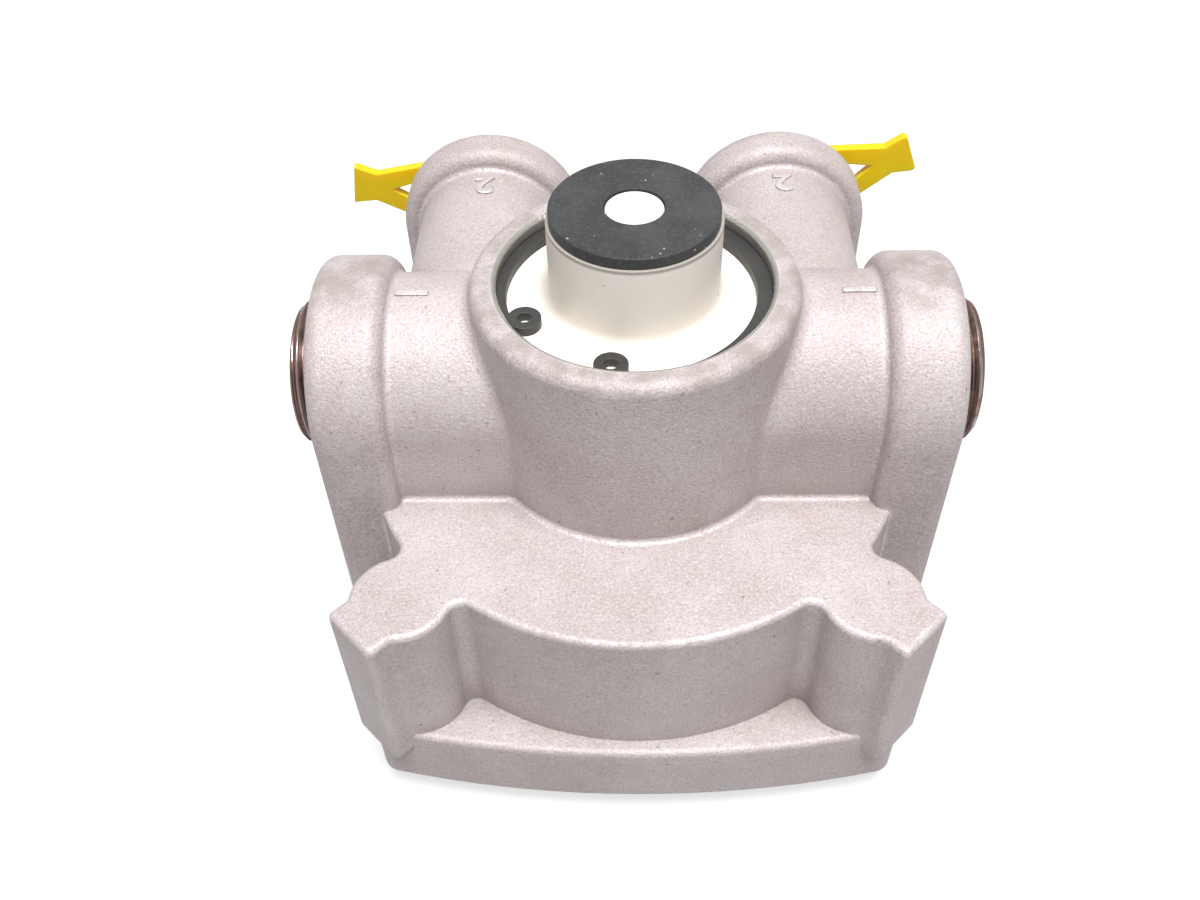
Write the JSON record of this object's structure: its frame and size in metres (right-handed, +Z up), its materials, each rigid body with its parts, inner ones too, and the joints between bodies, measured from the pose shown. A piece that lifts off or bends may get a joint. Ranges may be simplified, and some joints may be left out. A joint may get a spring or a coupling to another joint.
{
  "type": "air brake relay valve",
  "caption": "Cast air brake relay valve with side supply ports, plugged delivery ports, a drum exhaust with rubber flap, a sliding relay piston and a sprung inlet and exhaust valve.",
  "frame": {"origin": "centre of the cover's foot, on the exhaust axis, where the control port opens downwards", "axes": "+Z up along the piston and exhaust axis, out of the exhaust; +X along the two supply ports; +Y towards the faces of the delivery ports"},
  "size_m": [0.1216, 0.1106, 0.1024],
  "materials": {
    "cast_aluminium": "grit-blasted die casting, warm light grey",
    "machined_aluminium_cover": "grit-blasted die casting",
    "black_oxide_steel": "black oxide, satin",
    "spring_steel": "drawn wire",
    "phosphated_steel": "black phosphate, satin",
    "plated_steel": "turned pipe thread, light rust in the roots",
    "black_rubber": "matt moulded rubber",
    "seal_rubber": "greased rubber",
    "white_acetal": "moulded acetal, satin",
    "piston_acetal": "moulded acetal, satin",
    "valve_acetal": "moulded, satin",
    "stud_plastic": "moulded, satin",
    "yellow_plastic": "soft moulded polyethylene"
  },
  "bodies": {
    "housing": {"valve_body": "cast_aluminium", "cover": "machined_aluminium_cover", "cover_seal": "seal_rubber", "cover_screws": "black_oxide_steel", "valve_spring_seat": "plated_steel", "exhaust_cover": "white_acetal", "exhaust_cover_seal": "seal_rubber", "valve_stem_seal": "seal_rubber", "stem_seal_washer": "white_acetal", "retaining_ring": "phosphated_steel", "exhaust_flap": "black_rubber", "flap_stud": "stud_plastic", "supply_bushing_left": "plated_steel", "supply_bushing_right": "plated_steel", "delivery_plug_left": "yellow_plastic", "delivery_plug_right": "yellow_plastic"},
    "piston": {"relay_piston": "piston_acetal", "piston_seal": "seal_rubber", "piston_spring": "spring_steel"},
    "valve": {"inlet_exhaust_valve": "valve_acetal", "valve_face": "black_rubber", "valve_face_band": "plated_steel", "valve_spring": "spring_steel"}
  },
  "joints": [
    {"name": "piston_slide", "type": "slide", "parent": "housing", "child": "piston", "axis": [0, 0, 1], "range_m": [0, 0.0045], "stiffness_N_per_m": 800, "springref_m": -0.006, "deforming": ["piston_spring"]},
    {"name": "valve_slide", "type": "slide", "parent": "housing", "child": "valve", "axis": [0, 0, 1], "range_m": [0, 0.003], "stiffness_N_per_m": 500, "springref_m": -0.004, "deforming": ["valve_spring"]}
  ],
  "couplings": [
    {"joint": "valve_slide", "follows": "piston_slide", "ratio": 0.66667}
  ]
}
